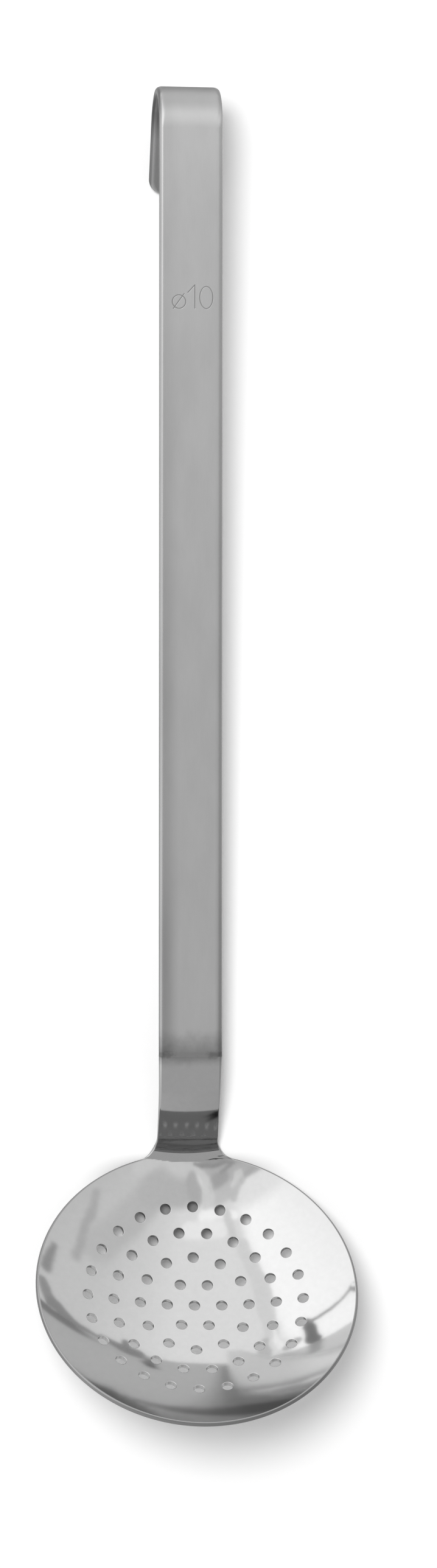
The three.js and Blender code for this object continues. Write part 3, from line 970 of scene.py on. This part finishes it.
def handleStations():
    halfWidth = strip["width"] / 2
    start = weld["length"]
    bendY = start + handle["straight"]
    stations = []
    for i in range(handle["straightSteps"]):
        y = start + handle["straight"] * i / handle["straightSteps"]
        stations.append((y, 0.0, 0.0, halfWidth, 0.0))
    bend = math.pi - math.radians(handle["hookOpening"])
    radius = handle["hookRadius"]
    for i in range(handle["hookSteps"] + 1):
        turn = i / handle["hookSteps"] * bend
        y, z = bendY + radius * math.sin(turn), radius * (math.cos(turn) - 1)
        stations.append((y, z, -turn, halfWidth, 0.0))
    tailY, tailZ = stations[-1][:2]

    def tailStation(along, half, narrowing):
        y, z = tailY + along * math.cos(bend), tailZ - along * math.sin(bend)
        stations.append((y, z, -bend, half, narrowing))

    corner, broken = handle["tailCorner"], handle["endBreak"]
    for i in range(handle["tailSteps"] + 1):
        turn = i / handle["tailSteps"] * math.pi / 2
        along = handle["tail"] - broken - (corner - broken) * (1 - math.sin(turn))
        tailStation(along, halfWidth - (corner - broken) * (1 - math.cos(turn)), 0.0)
    flat = halfWidth - (corner - broken)
    for i in range(1, handle["breakSteps"] + 1):
        turn = i / handle["breakSteps"] * math.pi / 2
        along = handle["tail"] - broken * (1 - math.sin(turn))
        tailStation(along, flat, broken * (1 - math.cos(turn)))
    return stations


def makeHandle():
    surface = Surface()
    addLoft(surface, handleStations())
    return makePiece("handle_strip", surface, satinMaterial)


handlePiece = makeHandle()
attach(handlePiece, "root")
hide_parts("handle")
print("handle made:", len(handlePiece.data.polygons), "faces")


# Weld: a narrow band of the same section, ground a hair below it
def makeWeld():
    surface = Surface()
    stations = []
    for i in range(weld["steps"] + 1):
        share = i / weld["steps"]
        sink = weld["sink"] * math.sin(share * math.pi)
        stations.append((weld["length"] * share, 0.0, 0.0, strip["width"] / 2, sink))
    addLoft(surface, stations)
    return makePiece("weld_band", surface, weldMaterial)


weldPiece = makeWeld()
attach(weldPiece, "root")
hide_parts("weld_seam")
print("weld made")


# The table: white to the camera, its own grey in the steel's reflections. Far from the spoon it
# fades to the background's white. Under the bowl's heel a shadow is painted on it, and streaks
# are painted on it that only the steel shows.
table = {
    "corners": ((-1500, -1500), (1500, -1500), (1500, 300), (-1500, 300)),
    "colour": 0.95,
    "lift": 0.10,
    "whitening": (270, 520),
    "seenInSteel": 0.64,
    # painted light and shade on the table that only the steel's reflections show; the one beside
    # the neck is a painted shadow
    "paintedReflectionStreaks": [  # streaks that the steel shows on it, ends in mm, half widths, softness, tone
        ((-110, 60), (-260, 330), 45, 160, 30, 0.86),
        ((-58, 90), (-100, 200), 2, 4, 9, 0.50),
        ((-100, 200), (-150, 320), 4, 8, 12, 0.48),
        ((200, 130), (400, 320), 26, 60, 40, 0.30),
        ((112, 170), (190, 320), 6, 26, 16, 0.34),
        ((60, 60), (78, 105), 1, 3, 5, 0.16),
        ((78, 105), (102, 200), 3, 2, 6, 0.26),
        ((9, -86), (13, -97), 1, 2, 6, 0.30),
    ],
    # a painted shadow where the bowl's heel comes down to it, as seen through the holes
    "paintedShadowUnderBowl": {"Centre": (0, -141, 0), "Size": (36, 34, 1), "Softness": 0.9, "Raggedness": 0.0},
    "paintedShadowEnd": (-136, -127),
    "paintedShadowDepth": 0.76,
}


def makeTable():
    mesh = bpy.data.meshes.new("table")
    mesh.from_pydata([(x * mm, y * mm, 0) for x, y in table["corners"]], [], [(0, 1, 2, 3)])
    piece = bpy.data.objects.new("table", mesh)
    bpy.context.scene.collection.objects.link(piece)
    material = bpy.data.materials.new("tableTop")
    material.use_nodes = True
    tree = material.node_tree
    tree.nodes.clear()
    output = addNode(tree, "ShaderNodeOutputMaterial")
    path = addNode(tree, "ShaderNodeLightPath").outputs
    spot = addNode(tree, "ShaderNodeNewGeometry").outputs["Position"]
    place = scaleVector(tree, spot, 1 / mm)
    # painted reflections: light and dark streaks on the table for glossy rays
    seen = addStrokes(tree, place, table["seenInSteel"], table["paintedReflectionStreaks"])
    inSteel = calc(tree, "MAXIMUM", path["Is Glossy Ray"], path["Is Transmission Ray"])
    # painted shadow under the bowl's heel: it darkens the table's tone and its glow to the camera
    shade = useGroup(tree, softSpot, {"Place": place, **table["paintedShadowUnderBowl"]})
    end = ease(tree, splitVector(tree, place)["Y"], *table["paintedShadowEnd"], low=1.0, high=0.0)
    shade = calc(tree, "MULTIPLY", shade, end)
    tone = mixValue(tree, inSteel, table["colour"], seen)
    tone = dull(tree, tone, shade, table["paintedShadowDepth"])
    diffuse = feed(tree, addNode(tree, "ShaderNodeBsdfDiffuse"), {"Color": grey(tree, tone)})
    lift = dull(tree, table["lift"], shade, table["paintedShadowDepth"])
    away = vectorCalc(tree, "LENGTH", place)
    lift = calc(tree, "ADD", lift, ease(tree, away, *table["whitening"]))
    lift = calc(tree, "MULTIPLY", path["Is Camera Ray"], lift)
    glow = feed(tree, addNode(tree, "ShaderNodeEmission"), {"Strength": lift})
    both = addNode(tree, "ShaderNodeAddShader")
    feed(tree, both, {0: diffuse.outputs[0], 1: glow.outputs[0]})
    feed(tree, output, {"Surface": both.outputs[0]})
    mesh.materials.append(material)


makeTable()


# The room. Diffuse surfaces see an even soft light; steel sees a studio with a bright wall on
# the hook's left, greyer ones elsewhere and a grey ceiling. What steel sees by way of other
# steel is dimmer, but brighter low down beyond the hook.
room = {
    "soft": 0.45,
    "background": 1.0,
    "secondSight": (0.57, 1.25),
    "secondDepth": 2.5,  # the background is at ray depth 2 after one reflection, 3 after two
    "lowAhead": 1.2,
    "sway": (3.0, 2.0),  # how far the drawn edges waver, in degrees sideways and up
    "swayNoise": (9.0, 3.0),
}
walls = [  # azimuth from the hook's direction towards the right, in degrees, and its brightness
    (-180, 0.53), (-120, 0.75), (-80, 1.20), (-45, 1.38), (-30, 1.50), (-17, 1.55), (-15, 1.48),
    (-13, 1.13), (-5, 1.15), (12, 1.12), (20, 1.02), (34, 0.88), (45, 0.86), (57, 0.78), (75, 0.40),
    (120, 0.38), (180, 0.53),
]
wallShapes = [  # azimuth and elevation of both ends, half width at each, softness, brightness
    ((12, 65), (42, 60), 3.0, 3.5, 3.0, 0.92),
    ((30, 55), (38, 28), 5.0, 3.0, 5.0, 0.77),
    ((14, 57), (30, 55), 3.0, 4.5, 4.0, 0.74),
    ((6.5, 57), (10, 61.5), 2.8, 2.5, 2.0, 0.67),
    ((50, 42), (46, 35), 0.3, 0.5, 2.4, 0.66),
    ((46, 35), (42, 20), 0.5, 0.3, 2.4, 0.64),
    ((48.5, 17), (46.5, 9), 0.4, 0.8, 1.7, 0.42),
    ((-44, 57), (-17, 55), 2.0, 1.5, 6.0, 1.24),
    ((-46, 66.5), (-2, 67), 6.5, 6.5, 1.0, 0.72),
    ((-14, 58.5), (-5, 57), 2.0, 3.0, 2.0, 0.85),
    ((-13, 62.5), (-5, 61.5), 1.0, 1.5, 2.0, 0.58),
    ((-36, 60.6), (-22, 60.3), 0.4, 0.3, 1.0, 0.65),
    ((-24, 60), (-19, 58.6), 0.4, 0.6, 0.8, 0.82),
    ((-19, 58.6), (-14, 55), 0.6, 1.2, 1.0, 0.84),
    ((-24, 61.8), (-21, 61.5), 0.9, 0.9, 0.5, 0.97),
    ((-21, 61.5), (-16, 58.6), 0.9, 0.5, 0.5, 0.99),
    ((-20, 62.6), (-15.2, 58.6), 0.15, 0.15, 0.3, 1.12),
    ((-22, 69), (0, 69.5), 1.2, 1.2, 0.8, 0.56),
    ((-22, 65.6), (-15, 67), 0.2, 0.3, 0.6, 0.40),
    ((-15, 67), (-5, 66.6), 0.3, 0.35, 0.6, 0.38),
    ((-19, 65.4), (-10, 64.2), 0.3, 0.2, 0.7, 0.46),
    ((-5, 66.6), (9, 67.6), 0.4, 0.3, 0.9, 0.42),
    ((16, 66.4), (8, 66), 0.3, 0.5, 0.6, 0.93),
    ((8, 66), (2, 63.6), 0.5, 1.2, 0.8, 0.97),
    ((2, 63.6), (-1, 60), 1.2, 2.3, 1.0, 0.97),
    ((-1, 60), (-0.5, 54), 2.3, 2.6, 1.0, 1.00),
    ((-2.6, 63), (-2.2, 58), 0.1, 0.2, 0.5, 0.86),
    ((-12, 49.5), (-3, 51), 0.8, 0.5, 1.2, 1.50),
    ((-2, 50.5), (3, 50), 1.5, 1.5, 1.5, 1.46),
    ((-4, 46), (9, 45), 2.4, 2.2, 1.8, 1.32),
    ((-8.5, 50), (-9.5, 41), 1.3, 1.0, 1.0, 0.98),
    ((-12, 39), (-13.5, 24), 2.0, 2.4, 0.5, 1.03),
    ((-13.5, 24), (-11.5, 5), 2.4, 1.8, 0.6, 1.03),
    ((-12.4, 6), (-12, -2), 0.2, 0.9, 0.4, 1.35),
    ((-16, -1), (-13, -3), 0.9, 0.7, 0.5, 0.72),
    ((-9.5, 3), (-8, -3), 0.6, 1.4, 0.6, 0.78),
    ((-20.5, 4.5), (-19.5, -3), 0.8, 1.7, 0.6, 0.26),
    ((-35, 7.5), (-29, 5.4), 0.25, 0.25, 0.4, 0.45),
    ((-29, 5.4), (-21, 4), 0.25, 0.35, 0.4, 0.42),
    ((-35, 7), (-35, 6), 1.3, 1.0, 0.6, 0.50),
    ((-35, 7.8), (-35, 7.6), 0.4, 0.4, 0.4, 1.60),
    ((46, 4), (41, -1), 0.7, 1.5, 0.8, 0.42),
    ((41, -1), (28, -4.6), 1.5, 0.8, 0.8, 0.38),
    ((28, -3), (20, -4.6), 0.9, 1.5, 0.7, 0.36),
    ((23, -1), (22.5, -5), 0.6, 1.2, 0.6, 0.36),
    ((18, -5.6), (17, -6), 0.7, 0.7, 0.4, 0.10),
    ((1, -5.2), (15, -5.2), 0.25, 0.25, 0.3, 1.35),
]
ceilingMarks = [
    ((-4.5, 77), (-13, 72), 3.4, 2.4, 1.0, 0.02),
    ((-90, 87.7), (-170, 83.8), 1.0, 1.3, 0.5, 0.02),
]
ceiling = {"lean": (-4.0, -12.0), "reach": 32.0, "softness": 4.0, "tone": 0.505}


def makeWalls(tree, azimuth):
    ramp = addNode(tree, "ShaderNodeValToRGB")
    feed(tree, ramp, {"Fac": calc(tree, "MULTIPLY_ADD", azimuth, 1 / 360, 0.5)})
    stops = ramp.color_ramp.elements
    while len(stops) < len(walls):
        stops.new(0.5)
    brightest = max(tone for _, tone in walls)
    for stop, (angle, tone) in zip(stops, walls):
        stop.position = angle / 360 + 0.5
        stop.color = (tone / brightest,) * 3 + (1,)
    return calc(tree, "MULTIPLY", ramp.outputs["Color"], brightest)


# The ceiling is a round field about a direction that leans a little off the zenith
def addCeiling(tree, way, tone):
    leanX, leanY = (math.tan(math.radians(lean)) for lean in ceiling["lean"])
    near = vectorCalc(tree, "DOT_PRODUCT", way, Vector((leanX, leanY, 1)).normalized())
    off = calc(tree, "DEGREES", calc(tree, "ARCCOSINE", near))
    outer = ceiling["reach"] + ceiling["softness"]
    share = ease(tree, off, ceiling["reach"], outer, low=1.0, high=0.0)
    return mixValue(tree, share, tone, ceiling["tone"])


def makeRoom():
    world = bpy.data.worlds.new("studio")
    world.use_nodes = True
    bpy.context.scene.world = world
    tree = world.node_tree
    tree.nodes.clear()
    output = addNode(tree, "ShaderNodeOutputWorld")
    background = feed(tree, addNode(tree, "ShaderNodeBackground"), {"Color": (1, 1, 1, 1)})
    feed(tree, output, {"Surface": background.outputs[0]})
    way = addNode(tree, "ShaderNodeTexCoord").outputs["Generated"]
    x, y, z = splitVector(tree, way)
    noise = addNoise(tree, way, *room["swayNoise"]).outputs["Color"]
    swayed = feed(tree, addNode(tree, "ShaderNodeSeparateColor"), {0: noise}).outputs
    angles = [calc(tree, "ARCTAN2", x, y), calc(tree, "ARCSINE", z)]
    for i, reach in enumerate(room["sway"]):
        shift = calc(tree, "MULTIPLY", calc(tree, "SUBTRACT", swayed[i], 0.5), reach)
        angles[i] = calc(tree, "ADD", calc(tree, "DEGREES", angles[i]), shift)
    place = addNode(tree, "ShaderNodeCombineXYZ")
    place = feed(tree, place, {"X": angles[0], "Y": angles[1]}).outputs[0]
    tone = addStrokes(tree, place, makeWalls(tree, angles[0]), wallShapes)
    tone = addStrokes(tree, place, addCeiling(tree, way, tone), ceilingMarks)
    path = addNode(tree, "ShaderNodeLightPath").outputs
    again = calc(tree, "GREATER_THAN", path["Ray Depth"], room["secondDepth"])
    ahead = calc(tree, "GREATER_THAN", y, calc(tree, "MULTIPLY", z, room["lowAhead"]))
    second = mixValue(tree, ahead, *room["secondSight"])
    tone = calc(tree, "MULTIPLY", tone, mixValue(tree, again, 1.0, second))
    inSteel = calc(tree, "MAXIMUM", path["Is Glossy Ray"], path["Is Transmission Ray"])
    light = mixValue(tree, inSteel, room["soft"], tone)
    light = mixValue(tree, path["Is Camera Ray"], light, room["background"])
    feed(tree, background, {"Strength": light})


makeRoom()

# One lamp at the upper left gives the shadow on the table
lamp = {"place": (-320, 120, 1350), "aim": (0, -40, 20), "size": 0.42, "power": 12.1}


def makeLamp():
    data = bpy.data.lights.new("keyLamp", "AREA")
    data.shape = "DISK"
    data.size = lamp["size"]
    data.energy = lamp["power"]
    light = bpy.data.objects.new("keyLamp", data)
    light.location = Vector(lamp["place"]) * mm
    aim = (Vector(lamp["aim"]) - Vector(lamp["place"])) * mm
    light.rotation_euler = aim.to_track_quat("-Z", "Y").to_euler()
    light.visible_glossy = False
    bpy.context.scene.collection.objects.link(light)


makeLamp()
bpy.context.scene.view_settings.view_transform = "Standard"
print("table, room and lamp made")
